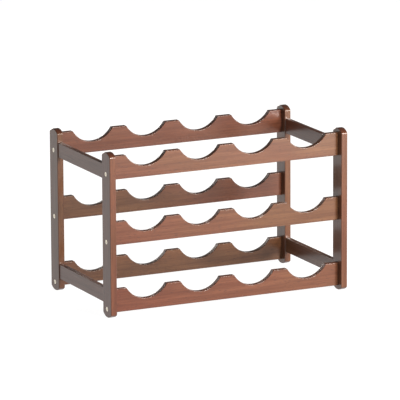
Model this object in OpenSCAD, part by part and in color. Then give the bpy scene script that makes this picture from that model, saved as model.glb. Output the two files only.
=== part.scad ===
// Wine rack for twelve bottles: two side frames of posts and stretchers, joined by six cradle rails.
// X runs across the rack, Y from front to back, Z up. The origin is on the floor, at the rack's middle.

/* [Rack] */
// Width across the outer faces of the posts
rack_w = 430; // [420:1:460]
// Depth, from the front posts' front faces to the back posts' back faces
rack_d = 238.5; // [210:0.5:280]
// Height, which is the length of a post
rack_h = 273.5; // [270:0.5:300]

/* [Posts] */
// Thickness of a post, across the rack
post_t = 11; // [10:0.5:16]
// Depth of a post, front to back
post_d = 31.5; // [30:0.5:36]
// Radius of the arc across a post's rounded ends
end_r = 23; // [20:0.5:40]
// Radius that eases this arc into the post's front and back faces
shoulder_r = 4; // [2:0.5:6]
// Width of the flat across the crown of each end, on which the post stands
end_flat = 4; // [2:0.5:6]
// Radius on the long edges of posts and stretchers
edge_r = 1.2; // [0.5:0.1:1.5]

/* [Rails] */
// Height of a rail at its flats
rail_h = 38.5; // [36:0.5:44]
// Thickness of a rail
rail_t = 10; // [9:0.5:12]
// Distance of a rail's front face behind its posts' front faces
rail_setback = 11.5; // [9:0.5:12]
// Height of the low rails' lower edge
low_rail_z = 7.8; // [6:0.1:12]
// Height of the middle rails' lower edge
middle_rail_z = 119.4; // [114:0.1:124]
// Height of the high rails' lower edge
high_rail_z = 228; // [224:0.5:230]

/* [Cradles] */
// Number of bottles on each tier
cradles = 4; // [3:1:4]
// Distance between neighbouring bottles
cradle_pitch = 96.9; // [90:0.1:98]
// Radius of a cradle
cradle_r = 41.8; // [38:0.1:44]
// Depth of a cradle below the flats
cradle_depth = 20.3; // [14:0.1:22]

/* [Stretchers] */
// Thickness of a stretcher, across the rack
stretcher_t = 8; // [7:0.5:9]
// Height of a stretcher
stretcher_h = 25.3; // [20:0.1:28]
// Height of the low stretchers' lower edge
low_stretcher_z = 22; // [18:0.5:30]
// Height of the high stretchers' lower edge
high_stretcher_z = 227.6; // [222:0.1:232]

/* [Screws] */
// Height of a screw above the lower edge of a low or middle rail
screw_rise = 6; // [5:0.5:12]
// Height of a screw above the lower edge of a top rail
top_screw_rise = 9.5; // [5:0.5:12]
// Length of a screw
screw_l = 45; // [35:1:50]
// Diameter of a screw's shank and thread
screw_d = 4; // [3.5:0.1:4.5]
// Diameter of a screw's head
head_d = 7.5; // [7:0.1:8.5]

/* [Dowels] */
// Height of a rail's dowel above the rail's lower edge
dowel_rise = 28.5; // [27:0.5:31]
// Diameter of a rail's dowel
rail_dowel_d = 6; // [5:0.5:7]
// Length of a rail's dowel
rail_dowel_l = 20; // [16:1:22]
// Diameter of a stretcher's dowel
stretcher_dowel_d = 5; // [4:0.5:5.5]
// Length of a stretcher's dowel
stretcher_dowel_l = 24; // [18:1:26]

/* [Hidden] */
$fn = 64;
wood = "#8c5a48";
stained_inside = "#7a4e3e";
beech = "#d9b98c";
nickel = "#e2dccd";
eps = 1;                                      // how far a cutter runs past a face

rail_l = rack_w - 2 * post_t;
rail_y = rail_setback + rail_t / 2;           // rail's middle, from its post's front face
back_post_y = rack_d / 2 - post_d;            // the back posts' front faces
post_ys = [-rack_d / 2, back_post_y];
rail_zs = [low_rail_z, middle_rail_z, high_rail_z];
stretcher_zs = [low_stretcher_z, high_stretcher_z];
stretcher_l = rack_d - 2 * post_d;
stretcher_inset = (post_t - stretcher_t) / 2; // behind the post's outer face, and the same inside

head_sink = 0.15;                             // the heads lie just under the post's face
head_rim = 0.4;                               // straight rim of a head, above its cone
hole_play = 0.05;                             // radial play of a screw or dowel in its hole
dowel_in_post = 6;                            // length of a rail's dowel inside the post
stretcher_dowel_in_post = 10;                 // length of a stretcher's dowel inside the post
stretcher_dowel_gap = 14;                     // between the two dowels at a stretcher's end
hole_end = 0.5;                               // room left at the end of a dowel's hole
dowel_chamfer = 0.8;
recess_w = 1;                                 // width and span of the cross recess, and its depth
recess_span = 4.4;
recess_depth = 1.6;

// ---- shapes that repeat ----

module rounded_rectangle(w, h, r) {
    translate([r, 0]) square([w - 2 * r, h]);
    translate([0, r]) square([w, h - 2 * r]);
    for (x = [r, w - r], y = [r, h - r]) translate([x, y]) circle(r);
}

// Upper half of a post's outline: an arc across the end, with eased shoulders
module post_end() {
    reach = end_r - shoulder_r;                      // from the arc's centre to a shoulder's centre
    half = post_d / 2 - shoulder_r;
    arc_z = rack_h - sqrt(end_r * end_r - end_flat * end_flat / 4);
    shoulder_z = arc_z + sqrt(reach * reach - half * half);
    spread = 2 * end_r / reach;
    translate([0, rack_h / 2 - eps]) square([post_d, shoulder_z - rack_h / 2 + eps]);
    for (y = [shoulder_r, post_d - shoulder_r]) translate([y, shoulder_z]) circle(shoulder_r);
    intersection() {
        translate([post_d / 2, arc_z]) circle(end_r, $fn = 180);
        translate([post_d / 2, arc_z])
            polygon([[0, 0], [half, shoulder_z - arc_z] * spread, [-half, shoulder_z - arc_z] * spread]);
    }
}

module post_outline() {
    intersection() {
        union() {
            post_end();
            translate([0, rack_h]) mirror([0, 1]) post_end();
        }
        square([post_d, rack_h]);
    }
}

// Lies along +X from its own middle, with both ends chamfered
module dowel(d, l) {
    r = d / 2;
    tip = r - dowel_chamfer;
    rotate([0, 90, 0]) rotate_extrude()
        polygon([[0, -l / 2], [tip, -l / 2], [r, dowel_chamfer - l / 2], [r, l / 2 - dowel_chamfer],
                 [tip, l / 2], [0, l / 2]]);
}

// Head at x = 0, pointing along +X
module screw() {
    r = screw_d / 2;
    head = head_d / 2;
    cone = head_rim + head - r;                      // the head's cone is a right angle
    difference() {
        rotate([0, 90, 0]) rotate_extrude()
            polygon([[0, 0], [head, 0], [head, head_rim], [r, cone], [r, screw_l - screw_d], [0, screw_l]]);
        for (turn = [0, 90]) rotate([turn, 0, 0])
            translate([-eps, -recess_span / 2, -recess_w / 2])
                cube([recess_depth + eps, recess_span, recess_w]);
    }
}

// The hole that a screw leaves in a post, with its countersink open at x = 0
module screw_hole() {
    r = screw_d / 2 + hole_play;
    head = head_d / 2 + hole_play;
    cone_end = head_sink + head_rim + head - r;
    rotate([0, 90, 0]) {
        translate([0, 0, -eps]) cylinder(r = r, h = post_t + 2 * eps);
        translate([0, 0, -eps]) cylinder(r = head, h = eps + head_sink + head_rim);
        translate([0, 0, head_sink + head_rim]) cylinder(r1 = head, r2 = r, h = cone_end - head_sink - head_rim);
    }
}

// Puts its children on the left side frame, or mirrored on the right one
module on_side(right) {
    if (right) mirror([1, 0, 0]) translate([-rack_w / 2, 0, 0]) children();
    else translate([-rack_w / 2, 0, 0]) children();
}

// ---- the rack's pieces ----

function screw_rise_in(z) = z == max(rail_zs) ? top_screw_rise : screw_rise;

// Outer face at x = 0 and front face at y = 0; the stretchers meet the face that is given
module post(inner_y) {
    dowel_hole_l = dowel_in_post + hole_end;
    stretcher_hole_l = stretcher_dowel_in_post + hole_end;
    color(wood) difference() {
        intersection() {
            rotate([90, 0, 90]) linear_extrude(post_t) post_outline();
            linear_extrude(rack_h) rounded_rectangle(post_t, post_d, edge_r);
        }
        for (z = rail_zs) translate([0, rail_y, z]) {
            translate([0, 0, screw_rise_in(z)]) screw_hole();
            translate([post_t - dowel_hole_l, 0, dowel_rise]) rotate([0, 90, 0])
                cylinder(d = rail_dowel_d + 2 * hole_play, h = dowel_hole_l + eps);
        }
        for (z = stretcher_zs, up = [-0.5, 0.5])
            translate([post_t / 2, inner_y, z + stretcher_h / 2 + up * stretcher_dowel_gap])
                rotate([90, 0, 0]) cylinder(d = stretcher_dowel_d + 2 * hole_play, h = 2 * stretcher_hole_l,
                                            center = true);
    }
}

// Front face at y = 0 and lower edge at z = 0, with its middle at x = 0
module rail_blank() {
    first = -(cradles - 1) / 2;
    translate([0, rail_t, 0]) rotate([90, 0, 0]) linear_extrude(rail_t) difference() {
        translate([-rail_l / 2, 0]) square([rail_l, rail_h]);
        for (i = [0 : cradles - 1])
            translate([(first + i) * cradle_pitch, rail_h - cradle_depth + cradle_r]) circle(cradle_r, $fn = 180);
    }
}

module rail(front_post_y, z) {
    screw_hole_l = screw_l + head_sink - post_t + hole_end;
    dowel_hole_l = rail_dowel_l - dowel_in_post + hole_end;
    color(wood) translate([0, front_post_y + rail_setback, z]) difference() {
        rail_blank();
        for (end = [-1, 1]) translate([end * rail_l / 2, rail_t / 2, 0]) {
            translate([0, 0, screw_rise_in(z)]) rotate([0, 90, 0])
                cylinder(d = screw_d + 2 * hole_play, h = 2 * screw_hole_l, center = true);
            translate([0, 0, dowel_rise]) rotate([0, 90, 0])
                cylinder(d = rail_dowel_d + 2 * hole_play, h = 2 * dowel_hole_l, center = true);
        }
    }
}

module stretcher(right, z) {
    hole_l = stretcher_dowel_l - stretcher_dowel_in_post + hole_end;
    color(stained_inside) on_side(right) translate([stretcher_inset, 0, z]) difference() {
        translate([0, stretcher_l / 2, 0]) rotate([90, 0, 0])
            linear_extrude(stretcher_l) rounded_rectangle(stretcher_t, stretcher_h, edge_r);
        for (end = [-1, 1], up = [-0.5, 0.5])
            translate([stretcher_t / 2, end * stretcher_l / 2, stretcher_h / 2 + up * stretcher_dowel_gap])
                rotate([90, 0, 0]) cylinder(d = stretcher_dowel_d + 2 * hole_play, h = 2 * hole_l, center = true);
    }
}

module screws(right) {
    color(nickel) on_side(right)
        for (y = post_ys, z = rail_zs) translate([head_sink, y + rail_y, z + screw_rise_in(z)]) screw();
}

module rail_dowels(right) {
    middle_x = post_t - dowel_in_post + rail_dowel_l / 2;
    color(beech) on_side(right)
        for (y = post_ys, z = rail_zs) translate([middle_x, y + rail_y, z + dowel_rise])
            dowel(rail_dowel_d, rail_dowel_l);
}

module stretcher_dowels(right) {
    middle_y = stretcher_l / 2 + stretcher_dowel_in_post - stretcher_dowel_l / 2;
    color(beech) on_side(right)
        for (end = [-1, 1], z = stretcher_zs, up = [-0.5, 0.5])
            translate([post_t / 2, end * middle_y, z + stretcher_h / 2 + up * stretcher_dowel_gap])
                rotate([0, 0, 90]) dowel(stretcher_dowel_d, stretcher_dowel_l);
}

module front_post(right) {
    on_side(right) translate([0, -rack_d / 2, 0]) post(post_d);
}

module back_post(right) {
    on_side(right) translate([0, back_post_y, 0]) post(0);
}

front_post(false);  // post_front_left
front_post(true);  // post_front_right
back_post(false);  // post_back_left
back_post(true);  // post_back_right
rail(post_ys[0], low_rail_z);  // rail_front_low
rail(post_ys[0], middle_rail_z);  // rail_front_middle
rail(post_ys[0], high_rail_z);  // rail_front_high
rail(post_ys[1], low_rail_z);  // rail_back_low
rail(post_ys[1], middle_rail_z);  // rail_back_middle
rail(post_ys[1], high_rail_z);  // rail_back_high
stretcher(false, low_stretcher_z);  // stretcher_left_low
stretcher(false, high_stretcher_z);  // stretcher_left_high
stretcher(true, low_stretcher_z);  // stretcher_right_low
stretcher(true, high_stretcher_z);  // stretcher_right_high
screws(false);  // screws_left
screws(true);  // screws_right
rail_dowels(false);  // rail_dowels_left
rail_dowels(true);  // rail_dowels_right
stretcher_dowels(false);  // stretcher_dowels_left
stretcher_dowels(true);  // stretcher_dowels_right
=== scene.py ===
import math

import bmesh
import bpy
from mathutils import Matrix, Vector


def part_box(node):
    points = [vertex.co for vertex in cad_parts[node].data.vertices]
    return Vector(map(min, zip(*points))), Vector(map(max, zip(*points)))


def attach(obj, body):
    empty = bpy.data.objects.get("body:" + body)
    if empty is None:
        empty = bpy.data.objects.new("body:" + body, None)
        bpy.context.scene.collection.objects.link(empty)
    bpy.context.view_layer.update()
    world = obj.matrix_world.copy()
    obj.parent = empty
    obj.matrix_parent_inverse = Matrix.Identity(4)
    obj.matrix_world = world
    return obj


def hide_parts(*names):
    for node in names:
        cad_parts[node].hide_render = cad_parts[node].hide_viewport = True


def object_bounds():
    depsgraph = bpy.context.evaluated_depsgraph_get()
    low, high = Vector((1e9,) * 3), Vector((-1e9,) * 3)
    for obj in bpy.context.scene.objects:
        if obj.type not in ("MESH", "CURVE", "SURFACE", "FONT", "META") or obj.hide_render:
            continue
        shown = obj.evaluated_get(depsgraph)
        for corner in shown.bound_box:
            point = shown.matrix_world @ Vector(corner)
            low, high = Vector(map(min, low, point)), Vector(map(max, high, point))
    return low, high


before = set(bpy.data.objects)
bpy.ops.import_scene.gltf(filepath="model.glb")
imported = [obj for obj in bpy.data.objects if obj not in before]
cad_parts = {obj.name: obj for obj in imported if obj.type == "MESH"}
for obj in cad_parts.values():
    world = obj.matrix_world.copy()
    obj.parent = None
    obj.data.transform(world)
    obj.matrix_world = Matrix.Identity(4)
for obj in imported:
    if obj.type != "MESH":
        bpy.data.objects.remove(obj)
cadLow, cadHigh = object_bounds()
print("frame loaded with", len(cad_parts), "nodes")

mm = 0.001
tiers = ("low", "middle", "high")
outside = 1 * mm                # every cutter starts this far outside its piece
spare = 3 * mm                  # sawn off each end once the edges are rounded, so that the ends stay square
roundedFaceWidth = 0.52 * mm    # a face narrower than this is part of a rounded edge
holeSides = 32


def linear(hexColour):
    parts = [int(hexColour[i:i + 2], 16) / 255 for i in (1, 3, 5)]
    return [c / 12.92 if c <= 0.04045 else ((c + 0.055) / 1.055) ** 2.4 for c in parts] + [1.0]


def addNode(tree, kind, settings=None, inputs=None, stops=None):
    # inputs go by name or by number; stops are a colour ramp's
    node = tree.nodes.new(kind)
    for key, value in (settings or {}).items():
        setattr(node, key, value)
    for key, value in (inputs or {}).items():
        if isinstance(value, bpy.types.NodeSocket):
            tree.links.new(value, node.inputs[key])
        else:
            node.inputs[key].default_value = value
    for i, (place, hexColour) in enumerate(stops or []):
        ramp = node.color_ramp.elements
        stop = ramp[i] if i < 2 else ramp.new(place)
        stop.position = place
        stop.color = linear(hexColour)
    return node


def startMaterial(name):
    material = bpy.data.materials.new(name)
    material.use_nodes = True
    material.node_tree.nodes.clear()
    return material, material.node_tree


def workOn(piece):
    if bpy.context.mode != "OBJECT":
        bpy.ops.object.mode_set(mode="OBJECT")
    bpy.ops.object.select_all(action="DESELECT")
    if piece:
        piece.select_set(True)
        bpy.context.view_layer.objects.active = piece


def addBox(name, low, high):
    workOn(None)
    low, high = Vector(low), Vector(high)
    bpy.ops.mesh.primitive_cube_add(size=1, location=(low + high) / 2, scale=high - low)
    return settle(name)


def addRod(name, start, end, radius, sides=48):
    workOn(None)
    start, end = Vector(start), Vector(end)
    turn = (end - start).to_track_quat("Z", "Y").to_euler()
    bpy.ops.mesh.primitive_cylinder_add(vertices=sides, radius=radius, depth=(end - start).length,
                                        location=(start + end) / 2, rotation=turn)
    return settle(name)


def settle(name):
    # the new primitive's place goes into its mesh
    piece = bpy.context.active_object
    piece.name = piece.data.name = name
    bpy.ops.object.transform_apply(location=True, rotation=True, scale=True)
    return piece


def sawOff(piece, point, normal):
    # takes away what lies beyond a plane, and closes the cut
    workOn(piece)
    bpy.ops.object.mode_set(mode="EDIT")
    bpy.ops.mesh.select_all(action="SELECT")
    bpy.ops.mesh.bisect(plane_co=point, plane_no=normal, use_fill=True, clear_outer=True, threshold=1e-7)
    bpy.ops.object.mode_set(mode="OBJECT")


def cutAway(piece, cutter):
    workOn(piece)
    cut = piece.modifiers.new("cut", "BOOLEAN")
    cut.operation, cut.solver, cut.object = "DIFFERENCE", "EXACT", cutter
    bpy.ops.object.modifier_apply(modifier=cut.name)
    bpy.data.objects.remove(cutter)


def roundEdges(piece, radius, segments, sharperThan=30):
    workOn(piece)
    bevel = piece.modifiers.new("round", "BEVEL")
    bevel.width, bevel.segments, bevel.limit_method = radius, segments, "ANGLE"
    bevel.angle_limit = math.radians(sharperThan)
    bpy.ops.object.modifier_apply(modifier=bevel.name)


def markEdges(piece):
    # 1 in the middle of every rounded edge and 0 on the faces, where painted shade darkens the rounded
    # edges
    mesh = bmesh.new()
    mesh.from_mesh(piece.data)
    edge = mesh.verts.layers.float.new("edge")
    narrow = {f for f in mesh.faces if 2 * f.calc_area() / f.calc_perimeter() < roundedFaceWidth}
    for v in mesh.verts:
        v[edge] = float(all(f in narrow for f in v.link_faces))
    mesh.to_mesh(piece.data)
    mesh.free()


def copyOf(piece, name, move=(0, 0, 0), mirrored=False):
    copy = piece.copy()
    copy.data = piece.data.copy()
    copy.name = copy.data.name = name
    bpy.context.scene.collection.objects.link(copy)
    workOn(copy)
    bpy.ops.object.mode_set(mode="EDIT")
    bpy.ops.mesh.select_all(action="SELECT")
    if mirrored:
        bpy.ops.transform.resize(value=(-1, 1, 1), center_override=(0, 0, 0))
        bpy.ops.mesh.flip_normals()
    bpy.ops.transform.translate(value=move)
    bpy.ops.object.mode_set(mode="OBJECT")
    return copy


def finishPiece(piece, material, slot, *nodes, tones=(0.5, 0.5), along=0, sharp=35):
    # tones are the stain's at the piece's two ends: 0 is red, 1 is golden
    workOn(piece)
    bpy.ops.object.shade_smooth_by_angle(angle=math.radians(sharp))
    flat = piece.modifiers.new("flat faces stay flat", "WEIGHTED_NORMAL")
    flat.keep_sharp = True
    bpy.ops.object.modifier_apply(modifier=flat.name)
    piece.data.materials.clear()
    piece.data.materials.append(material)
    shade = piece.data.attributes.new("tone", "FLOAT", "POINT")
    places = [v.co[along] for v in piece.data.vertices]
    first, length = min(places), max(places) - min(places)
    shade.data.foreach_set("value", [
        tones[0] + (tones[1] - tones[0]) * (x - first) / length for x in places])
    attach(piece, "root")
    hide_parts(*nodes)


wood = {
    "red": "#5d3221", "middle": "#5e3926", "golden": "#5d3e27",    # the stain, from board to board
    "toneStops": (0.3, 0.75, 1.0), "driftShare": 0.6,
    "dull": "#dccfc8", "streak": "#dfd5cd",                # what the figure and the grain take away
    # the last colour here is painted shade, laid along the rounded edges
    "pores": "#2e1b16", "endGrain": "#3c1f17", "edge": "#4a2a20",
    # mm across and along the grain; real grain is roughly 0.4 mm apart and real pores 0.2 mm wide, and both
    # are drawn coarser so that they show
    "fine": {"across": 1.6, "along": 60, "detail": 3, "shift": (3, 8, 1)},
    "figure": {"across": 9, "along": 190, "detail": 3, "shift": (7, 2, 5), "swirl": 0.4},
    "drift": {"across": 50, "along": 150, "detail": 1, "shift": (4, 9, 2)},
    "pore": {"across": 0.9, "along": 9, "detail": 1, "shift": (1, 5, 9)},
    "noiseRoughness": 0.55,
    # where each pattern starts and where it is full
    "figureRange": (0.3, 0.68), "fineRange": (0.32, 0.66), "roughRange": (0.3, 0.7),
    "poreRange": (0.63, 0.72), "poreShare": 0.6,
    "endRange": (0.45, 0.9), "endShare": 0.75,
    "grainDepth": 0.06 * mm, "bump": 0.5,
    "ior": 1.5, "shine": 0.08, "coat": 0.7,
    "roughness": (0.36, 0.46),
}


# Rubberwood, stained walnut and sprayed with satin lacquer: a thin even stain lets the straight fine grain
# through, and the lacquer gives side light a soft grey sheen. The grain runs along one axis.
def stainedRubberwood(name, along, coatRoughness):
    material, tree = startMaterial(name)
    place = addNode(tree, "ShaderNodeTexCoord").outputs["Object"]

    def pattern(look):
        size = [look["across"] * mm] * 3
        size[along] = look["along"] * mm
        moved = addNode(tree, "ShaderNodeMapping", inputs={
            "Vector": place, "Scale": [1 / s for s in size], "Location": look["shift"]})
        return addNode(tree, "ShaderNodeTexNoise", inputs={
            "Vector": moved.outputs[0], "Scale": 1.0, "Detail": look["detail"],
            "Roughness": wood["noiseRoughness"], "Distortion": look.get("swirl", 0.0)}).outputs["Fac"]

    fine, figure, drift, pore = [pattern(wood[k]) for k in ("fine", "figure", "drift", "pore")]

    tone = addNode(tree, "ShaderNodeAttribute", {"attribute_name": "tone"}).outputs["Fac"]
    lean = addNode(tree, "ShaderNodeMath", {"operation": "MULTIPLY_ADD"},
                   {0: drift, 1: wood["driftShare"], 2: tone}).outputs[0]
    start, halfway, end = wood["toneStops"]
    board = addNode(tree, "ShaderNodeValToRGB", inputs={0: lean}, stops=[
        (start, wood["red"]), (end, wood["golden"]), (halfway, wood["middle"])]).outputs[0]
    start, end = wood["figureRange"]
    bands = addNode(tree, "ShaderNodeValToRGB", inputs={0: figure}, stops=[
        (start, wood["dull"]), (end, "#ffffff")]).outputs[0]
    board = addNode(tree, "ShaderNodeMix", {"data_type": "RGBA", "blend_type": "MULTIPLY"},
                    {0: 1.0, 6: board, 7: bands}).outputs[2]
    start, end = wood["fineRange"]
    lines = addNode(tree, "ShaderNodeValToRGB", inputs={0: fine}, stops=[
        (start, wood["streak"]), (end, "#ffffff")]).outputs[0]
    board = addNode(tree, "ShaderNodeMix", {"data_type": "RGBA", "blend_type": "MULTIPLY"},
                    {0: 1.0, 6: board, 7: lines}).outputs[2]
    start, end = wood["poreRange"]
    pit = addNode(tree, "ShaderNodeMapRange", inputs={
        0: pore, 1: start, 2: end, 3: 0.0, 4: wood["poreShare"]}).outputs[0]
    board = addNode(tree, "ShaderNodeMix", {"data_type": "RGBA"},
                    {0: pit, 6: board, 7: linear(wood["pores"])}).outputs[2]

    # end grain drinks more stain
    facing = addNode(tree, "ShaderNodeSeparateXYZ", inputs={
        0: addNode(tree, "ShaderNodeNewGeometry").outputs["Normal"]}).outputs[along]
    ends = addNode(tree, "ShaderNodeMath", {"operation": "ABSOLUTE"}, {0: facing}).outputs[0]
    start, end = wood["endRange"]
    ends = addNode(tree, "ShaderNodeMapRange", inputs={
        0: ends, 1: start, 2: end, 3: 0.0, 4: wood["endShare"]}).outputs[0]
    board = addNode(tree, "ShaderNodeMix", {"data_type": "RGBA"},
                    {0: ends, 6: board, 7: linear(wood["endGrain"])}).outputs[2]

    # painted shade: the rounded edges are darkened, streaked by the fine grain
    edge = addNode(tree, "ShaderNodeAttribute", {"attribute_name": "edge"}).outputs["Fac"]
    edge = addNode(tree, "ShaderNodeMath", {"operation": "MULTIPLY"}, {0: edge, 1: fine}).outputs[0]
    board = addNode(tree, "ShaderNodeMix", {"data_type": "RGBA"},
                    {0: edge, 6: board, 7: linear(wood["edge"])}).outputs[2]

    low, high = wood["roughness"]
    start, end = wood["roughRange"]
    rough = addNode(tree, "ShaderNodeMapRange", inputs={
        0: fine, 1: start, 2: end, 3: high, 4: low}).outputs[0]
    relief = addNode(tree, "ShaderNodeMath", {"operation": "SUBTRACT"}, {0: fine, 1: pit}).outputs[0]
    bump = addNode(tree, "ShaderNodeBump", inputs={
        "Height": relief, "Strength": wood["bump"], "Distance": wood["grainDepth"]}).outputs[0]
    shader = addNode(tree, "ShaderNodeBsdfPrincipled", inputs={
        "Base Color": board, "Roughness": rough, "Normal": bump, "IOR": wood["ior"],
        "Specular IOR Level": wood["shine"],
        "Coat Weight": wood["coat"], "Coat Roughness": coatRoughness})
    addNode(tree, "ShaderNodeOutputMaterial", inputs={"Surface": shader.outputs[0]})
    return material


# Beech dowel, turned and left bare: pale, even, with short dark flecks.
def bareBeech(name):
    look = {
        "light": "#d8b98d", "dark": "#b98f60", "roughness": 0.6,
        "fleckAcross": 0.8, "fleckAlong": 5, "fleckDepth": 0.05 * mm, "detail": 2,
        "colourRange": (0.35, 0.6), "bump": 0.3,
    }
    material, tree = startMaterial(name)
    place = addNode(tree, "ShaderNodeTexCoord").outputs["Object"]
    moved = addNode(tree, "ShaderNodeMapping", inputs={"Vector": place, "Scale": [
        1 / (look["fleckAlong"] * mm), 1 / (look["fleckAcross"] * mm), 1 / (look["fleckAcross"] * mm)]})
    fleck = addNode(tree, "ShaderNodeTexNoise", inputs={
        "Vector": moved.outputs[0], "Scale": 1.0, "Detail": look["detail"]}).outputs["Fac"]
    start, end = look["colourRange"]
    colour = addNode(tree, "ShaderNodeValToRGB", inputs={0: fleck},
                     stops=[(start, look["dark"]), (end, look["light"])]).outputs[0]
    bump = addNode(tree, "ShaderNodeBump", inputs={
        "Height": fleck, "Strength": look["bump"], "Distance": look["fleckDepth"]}).outputs[0]
    shader = addNode(tree, "ShaderNodeBsdfPrincipled", inputs={
        "Base Color": colour, "Roughness": look["roughness"], "Normal": bump})
    addNode(tree, "ShaderNodeOutputMaterial", inputs={"Surface": shader.outputs[0]})
    return material


# Steel screw, nickel plated and tumbled: bright and faintly warm, with a light haze of rubbing.
def platedNickel(name):
    look = {
        "light": "#f2ead9", "dull": "#cfc4ae", "roughness": (0.22, 0.4),
        "haze": 1.2, "hazeDepth": 0.02 * mm, "detail": 3,
        "colourRange": (0.35, 0.6), "roughRange": (0.3, 0.7), "bump": 0.2,
    }
    material, tree = startMaterial(name)
    place = addNode(tree, "ShaderNodeTexCoord").outputs["Object"]
    haze = addNode(tree, "ShaderNodeTexNoise", inputs={
        "Vector": place, "Scale": 1 / (look["haze"] * mm), "Detail": look["detail"]}).outputs["Fac"]
    start, end = look["colourRange"]
    colour = addNode(tree, "ShaderNodeValToRGB", inputs={0: haze},
                     stops=[(start, look["dull"]), (end, look["light"])]).outputs[0]
    low, high = look["roughness"]
    start, end = look["roughRange"]
    rough = addNode(tree, "ShaderNodeMapRange", inputs={
        0: haze, 1: start, 2: end, 3: high, 4: low}).outputs[0]
    bump = addNode(tree, "ShaderNodeBump", inputs={
        "Height": haze, "Strength": look["bump"], "Distance": look["hazeDepth"]}).outputs[0]
    shader = addNode(tree, "ShaderNodeBsdfPrincipled", inputs={
        "Base Color": colour, "Metallic": 1.0, "Roughness": rough, "Normal": bump})
    addNode(tree, "ShaderNodeOutputMaterial", inputs={"Surface": shader.outputs[0]})
    return material


# the last number is the lacquer's roughness: lower on the posts, whose ends show a crisp bright line
railWood = stainedRubberwood("rubberwood rail, stained walnut, satin lacquer", 0, 0.21)
stretcherWood = stainedRubberwood("rubberwood stretcher, stained walnut, satin lacquer", 1, 0.2)
postWood = stainedRubberwood("rubberwood post, stained walnut, satin lacquer", 2, 0.15)
dowelBeech = bareBeech("beech dowel, turned and bare")
screwNickel = platedNickel("steel screw, nickel plated and tumbled")
print("materials made")


screw = {
    "headRadius": 3.75, "rim": 0.4, "shankRadius": 2, "length": 45,
    "point": 4, "tip": 0.3, "edgeRadius": 0.1, "edgeSegments": 2,
    "sink": 0.15, "play": 0.05,                         # the head lies just under the post's face
    "recessSpan": 4.2, "recessWidth": 1.1, "recessDepth": 1.6,
    "spanTaper": 0.45, "widthTaper": 0.8,               # the share that is left at the bottom of the recess
    "rise": {"low": 6, "middle": 6, "high": 9.5},       # above the rail's lower edge
    "sides": 40,
}


def screwHeights():
    return [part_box(f"rail_front_{tier}")[0].z + screw["rise"][tier] * mm for tier in tiers]


def selectEnd(piece):
    # opens the piece in edit mode with only its end face along X selected
    workOn(piece)
    bpy.ops.object.mode_set(mode="EDIT")
    bpy.ops.mesh.select_all(action="DESELECT")
    mesh = bmesh.from_edit_mesh(piece.data)
    end = max(mesh.faces, key=lambda f: f.calc_center_median().x)
    end.select_set(True)
    bmesh.update_edit_mesh(piece.data)
    return end.calc_center_median()


def extrudeEnd(piece, length, scale=1.0):
    end = selectEnd(piece)
    bpy.ops.mesh.extrude_region_move(TRANSFORM_OT_translate={"value": (length, 0, 0)})
    bpy.ops.transform.resize(value=(1, scale, scale), center_override=(end.x + length, end.y, end.z))
    bpy.ops.object.mode_set(mode="OBJECT")


def modelScrew():
    head, shank = screw["headRadius"] * mm, screw["shankRadius"] * mm
    cone = head - shank
    piece = addRod("screw", (0, 0, 0), (screw["rim"] * mm, 0, 0), head, sides=screw["sides"])
    extrudeEnd(piece, cone, shank / head)
    extrudeEnd(piece, (screw["length"] - screw["point"] - screw["rim"]) * mm - cone)
    extrudeEnd(piece, screw["point"] * mm, screw["tip"])
    roundEdges(piece, screw["edgeRadius"] * mm, screw["edgeSegments"])
    span, width, depth = (screw[k] * mm for k in ("recessSpan", "recessWidth", "recessDepth"))
    taper = {span: screw["spanTaper"], width: screw["widthTaper"]}
    for across, up in ((span, width), (width, span)):
        blade = addBox("blade", (-depth, -across / 2, -up / 2), (depth, across / 2, up / 2))
        selectEnd(blade)
        bpy.ops.transform.resize(value=(1, taper[across], taper[up]), center_override=(depth, 0, 0))
        cutAway(piece, blade)
    return piece


railBoxes = {side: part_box(f"rail_{side}_low") for side in ("front", "back")}
screwYs = {side: (low.y + high.y) / 2 for side, (low, high) in railBoxes.items()}
master = modelScrew()
for mirrored, side in ((False, "left"), (True, "right")):
    places = [(cadLow.x + screw["sink"] * mm, y, z) for y in screwYs.values() for z in screwHeights()]
    parts = [copyOf(master, f"screwPart{i}", place) for i, place in enumerate(places)]
    workOn(None)
    for part in parts:
        part.select_set(True)
    bpy.context.view_layer.objects.active = parts[0]
    bpy.ops.object.join()
    group = parts[0]
    if mirrored:
        group = copyOf(parts[0], "mirroredScrews", mirrored=True)
        bpy.data.objects.remove(parts[0])
    group.name = group.data.name = "screws" + side.capitalize()
    finishPiece(group, screwNickel, "screw_nickel", f"screws_{side}", sharp=30)
bpy.data.objects.remove(master)
print("screws modelled")


post = {
    "endRadius": 23, "shoulderRadius": 4, "flat": 4,
    "arcStep": 3.5, "shoulderStep": 8,    # degrees between the planes that shape an end
    "edgeRadius": 1.2, "edgeSegments": 4,
    "dowelHole": 6.1, "dowelDepth": 6.5, "dowelRise": 28.5,
    "stretcherHole": 5.1, "stretcherDepth": 10.5, "stretcherGap": 14,
}


def endPlanes(low, high):
    # points and directions, in Y and Z, of the planes that are tangent to a post's rounded upper end
    radius, shoulder = post["endRadius"] * mm, post["shoulderRadius"] * mm
    middle, half = (low.y + high.y) / 2, (high.y - low.y) / 2 - shoulder
    arcZ = high.z - math.sqrt(radius ** 2 - (post["flat"] * mm / 2) ** 2)
    shoulderZ = arcZ + math.sqrt((radius - shoulder) ** 2 - half ** 2)
    turn = math.degrees(math.asin(half / (radius - shoulder)))
    start = math.degrees(math.asin(post["flat"] * mm / 2 / radius))
    steps = round((turn - start) / post["arcStep"])
    arc = [(0, arcZ, radius, start + (turn - start) * i / steps) for i in range(steps)]
    steps = round((90 - turn) / post["shoulderStep"])
    arc += [(half, shoulderZ, shoulder, turn + (90 - turn) * i / steps) for i in range(steps)]
    for offset, z, r, degrees in arc:
        s, c = math.sin(math.radians(degrees)), math.cos(math.radians(degrees))
        for way in (-1, 1):
            yield (middle + way * (offset + r * s), z + r * c), (way * s, c)


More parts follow.
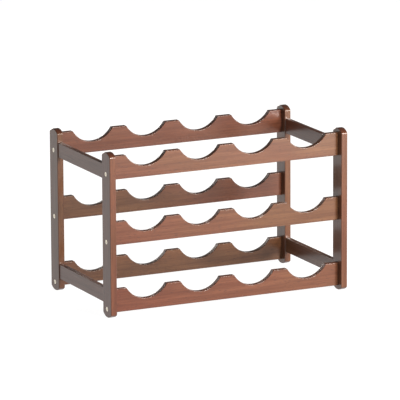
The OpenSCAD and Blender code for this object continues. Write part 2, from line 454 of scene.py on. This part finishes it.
def modelPost(side):
    low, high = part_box(f"post_{side}_left")
    piece = addBox("post", low, high)
    for (y, z), (outY, outZ) in endPlanes(low, high):
        sawOff(piece, (0, y, z), (0, outY, outZ))
        sawOff(piece, (0, y, low.z + high.z - z), (0, outY, -outZ))
    roundEdges(piece, post["edgeRadius"] * mm, post["edgeSegments"])
    markEdges(piece)
    head, shank = (screw[k] * mm + screw["play"] * mm for k in ("headRadius", "shankRadius"))
    rim = low.x + (screw["sink"] + screw["rim"]) * mm
    y = screwYs[side]
    for tier, z in zip(tiers, screwHeights()):
        # one stepped drill makes the screw's countersink and its hole
        drill = addRod("drill", (low.x - outside, y, z), (rim, y, z), head)
        extrudeEnd(drill, head - shank, shank / head)
        extrudeEnd(drill, high.x - rim)
        cutAway(piece, drill)
        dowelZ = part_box(f"rail_{side}_{tier}")[0].z + post["dowelRise"] * mm
        cutAway(piece, addRod("hole", (high.x - post["dowelDepth"] * mm, y, dowelZ),
                              (high.x + outside, y, dowelZ), post["dowelHole"] / 2 * mm))
    inner, way = (high.y, 1) if side == "front" else (low.y, -1)
    for tier in ("low", "high"):
        barLow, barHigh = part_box(f"stretcher_left_{tier}")
        x = (barLow.x + barHigh.x) / 2
        for up in (-0.5, 0.5):
            z = (barLow.z + barHigh.z) / 2 + up * post["stretcherGap"] * mm
            cutAway(piece, addRod("hole", (x, inner - way * post["stretcherDepth"] * mm, z),
                                  (x, inner + way * outside, z), post["stretcherHole"] / 2 * mm,
                                  sides=holeSides))
    return piece


postTones = {"FrontLeft": (0.35, 0.4), "FrontRight": (0.5, 0.65),
             "BackLeft": (0.6, 0.7), "BackRight": (0.6, 0.6)}
for side in ("front", "back"):
    master = modelPost(side)
    for mirrored, hand in ((False, "left"), (True, "right")):
        name = side.capitalize() + hand.capitalize()
        piece = copyOf(master, "post" + name, mirrored=mirrored)
        finishPiece(piece, postWood, "post_wood", f"post_{side}_{hand}", tones=postTones[name], along=2)
    bpy.data.objects.remove(master)
print("posts modelled")


rail = {
    "cradles": 4, "pitch": 96.9, "radius": 41.8, "depth": 20.3,
    "edgeRadius": 1.0, "edgeSegments": 4,
    "sides": 180,
    "dowelHole": 6.1, "dowelDepth": 14.5, "screwHole": 4.1, "screwDepth": 34.7,
}


def modelRail():
    low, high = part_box("rail_front_low")
    longer = Vector((spare, 0, 0))
    piece = addBox("rail", low - longer, high + longer)
    z = high.z + (rail["radius"] - rail["depth"]) * mm
    for i in range(rail["cradles"]):
        x = (low.x + high.x) / 2 + (i - (rail["cradles"] - 1) / 2) * rail["pitch"] * mm
        cutAway(piece, addRod("cradle", (x, low.y - outside, z), (x, high.y + outside, z),
                              rail["radius"] * mm, sides=rail["sides"]))
    roundEdges(piece, rail["edgeRadius"] * mm, rail["edgeSegments"])
    sawOff(piece, low, (-1, 0, 0))
    sawOff(piece, high, (1, 0, 0))
    markEdges(piece)
    return piece


def drillRail(piece, tier):
    low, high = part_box(f"rail_front_{tier}")
    y = (low.y + high.y) / 2
    for x, way in ((low.x, 1), (high.x, -1)):
        for rise, hole, depth in ((screw["rise"][tier], rail["screwHole"], rail["screwDepth"]),
                                  (post["dowelRise"], rail["dowelHole"], rail["dowelDepth"])):
            up = low.z + rise * mm
            cutAway(piece, addRod("hole", (x - way * outside, y, up), (x + way * depth * mm, y, up),
                                  hole / 2 * mm, sides=holeSides))


railTones = {"FrontLow": (0.05, 0.6), "FrontMiddle": (0.2, 0.95), "FrontHigh": (0.45, 0.7),
             "BackLow": (0.6, 0.8), "BackMiddle": (0.75, 0.3), "BackHigh": (0.3, 0.25)}
master = modelRail()
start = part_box("rail_front_low")[0]
for tier in tiers:
    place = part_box(f"rail_front_{tier}")[0]
    drilled = copyOf(master, "drilled", place - start)
    drillRail(drilled, tier)
    for side in ("front", "back"):
        name = side.capitalize() + tier.capitalize()
        piece = copyOf(drilled, "rail" + name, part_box(f"rail_{side}_{tier}")[0] - place)
        finishPiece(piece, railWood, "rail_wood", f"rail_{side}_{tier}", tones=railTones[name])
    bpy.data.objects.remove(drilled)
bpy.data.objects.remove(master)
print("rails modelled")


stretcher = {
    "edgeRadius": 1.2, "edgeSegments": 4,
    "hole": 5.1, "holeDepth": 14.5, "gap": 14,
}


def modelStretcher():
    low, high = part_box("stretcher_left_low")
    longer = Vector((0, spare, 0))
    piece = addBox("stretcher", low - longer, high + longer)
    roundEdges(piece, stretcher["edgeRadius"] * mm, stretcher["edgeSegments"])
    sawOff(piece, low, (0, -1, 0))
    sawOff(piece, high, (0, 1, 0))
    markEdges(piece)
    x = (low.x + high.x) / 2
    for y, way in ((low.y, 1), (high.y, -1)):
        for up in (-0.5, 0.5):
            z = (low.z + high.z) / 2 + up * stretcher["gap"] * mm
            cutAway(piece, addRod("hole", (x, y - way * outside, z),
                                  (x, y + way * stretcher["holeDepth"] * mm, z),
                                  stretcher["hole"] / 2 * mm, sides=holeSides))
    return piece


stretcherTones = {"LeftLow": (0.4, 0.5), "LeftHigh": (0.4, 0.6),
                  "RightLow": (0.5, 0.6), "RightHigh": (0.3, 0.4)}
master = modelStretcher()
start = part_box("stretcher_left_low")[0]
for hand in ("left", "right"):
    for tier in ("low", "high"):
        name = hand.capitalize() + tier.capitalize()
        piece = copyOf(master, "stretcher" + name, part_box(f"stretcher_{hand}_{tier}")[0] - start)
        finishPiece(piece, stretcherWood, "stretcher_wood", f"stretcher_{hand}_{tier}",
                    tones=stretcherTones[name], along=1)
bpy.data.objects.remove(master)
print("stretchers modelled")

for node in ("rail_dowels_left", "rail_dowels_right", "stretcher_dowels_left", "stretcher_dowels_right"):
    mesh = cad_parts[node].data
    mesh.materials.clear()
    mesh.materials.append(dowelBeech)
print("dowels given their wood")


studio = {
    "floorSize": 60, "floorColour": "#6c6c6c", "floorGlow": 0.97, "floorRoughness": 0.8,
    "lampColour": "#fff8f2", "lampDistance": 2.2,
    "skyFront": 0.2, "skyBack": 0.1, "skyChange": (-0.6, 0.3),      # from the front to the back
    "horizon": 0.5, "horizonFade": (0.03, 0.12),                    # a brighter band that fades upwards
}
# degrees to the right of the front and above the floor, metres, watts
lamps = {
    "low": {"turn": 32, "height": 10, "size": (0.7, 0.8), "power": 80},
    "high": {"turn": 14, "height": 27, "size": (0.3, 0.3), "power": 66},
    "back": {"turn": 180, "height": 6, "size": (1.0, 0.3), "power": 30},
}

workOn(None)
bpy.ops.mesh.primitive_plane_add(size=studio["floorSize"], location=(0, 0, 0))
floor = bpy.context.active_object
floor.name = "floor"
material, tree = startMaterial("white sheet, lit from below")
shader = addNode(tree, "ShaderNodeBsdfPrincipled", inputs={
    "Base Color": linear(studio["floorColour"]), "Roughness": studio["floorRoughness"],
    "Specular IOR Level": 0.0, "Emission Color": (1, 1, 1, 1), "Emission Strength": studio["floorGlow"]})
addNode(tree, "ShaderNodeOutputMaterial", inputs={"Surface": shader.outputs[0]})
floor.data.materials.append(material)

for name, look in lamps.items():
    lamp = bpy.data.lights.new(name, "AREA")
    lamp.energy, lamp.shape = look["power"], "RECTANGLE"
    lamp.size, lamp.size_y = look["size"]
    lamp.color = linear(studio["lampColour"])[:3]
    lampObject = bpy.data.objects.new(name, lamp)
    bpy.context.scene.collection.objects.link(lampObject)
    turn, height = math.radians(look["turn"]), math.radians(look["height"])
    flat = math.cos(height)
    toLamp = Vector((math.sin(turn) * flat, -math.cos(turn) * flat, math.sin(height)))
    lampObject.rotation_euler = toLamp.to_track_quat("Z", "Y").to_euler()
    lampObject.location = (cadLow + cadHigh) / 2 + toLamp * studio["lampDistance"]

world = bpy.data.worlds.new("studio")
world.use_nodes = True
bpy.context.scene.world = world
tree = world.node_tree
tree.nodes.clear()
toward = addNode(tree, "ShaderNodeSeparateXYZ", inputs={
    0: addNode(tree, "ShaderNodeTexCoord").outputs["Generated"]}).outputs
start, end = studio["skyChange"]
sky = addNode(tree, "ShaderNodeMapRange", inputs={
    0: toward["Y"], 1: start, 2: end, 3: studio["skyFront"], 4: studio["skyBack"]}).outputs[0]
start, end = studio["horizonFade"]
rise = addNode(tree, "ShaderNodeMapRange", inputs={
    0: toward["Z"], 1: start, 2: end, 3: 1.0, 4: 0.0}).outputs[0]
strength = addNode(tree, "ShaderNodeMix", inputs={0: rise, 2: sky, 3: studio["horizon"]}).outputs[0]
back = addNode(tree, "ShaderNodeBackground", inputs={"Color": (1, 1, 1, 1), "Strength": strength})
addNode(tree, "ShaderNodeOutputWorld", inputs={"Surface": back.outputs[0]})
bpy.context.scene.view_settings.view_transform = "Standard"

# a long lens from the front left, a little above the rack; metres, degrees and millimetres
view = {
    "place": (-3.195, -6.659, 1.840), "yaw": 25.65, "pitch": 12.875, "roll": -0.3,
    "lens": 412.8, "sensor": 36, "clip": (0.5, 100),
}
yaw, pitch, roll = (math.radians(view[k]) for k in ("yaw", "pitch", "roll"))
ahead = Vector((math.sin(yaw) * math.cos(pitch), math.cos(yaw) * math.cos(pitch), -math.sin(pitch)))
across = Vector((math.cos(yaw), -math.sin(yaw), 0))
above = across.cross(ahead)
right = math.cos(roll) * across + math.sin(roll) * above
upward = math.cos(roll) * above - math.sin(roll) * across
camera = bpy.data.cameras.new("camera")
camera.lens, camera.sensor_width = view["lens"], view["sensor"]
camera.clip_start, camera.clip_end = view["clip"]
cameraObject = bpy.data.objects.new("camera", camera)
bpy.context.scene.collection.objects.link(cameraObject)
cameraObject.matrix_world = Matrix.Translation(view["place"]) @ Matrix(
    (right, upward, -ahead)).transposed().to_4x4()
bpy.context.scene.camera = cameraObject
print("studio set up")
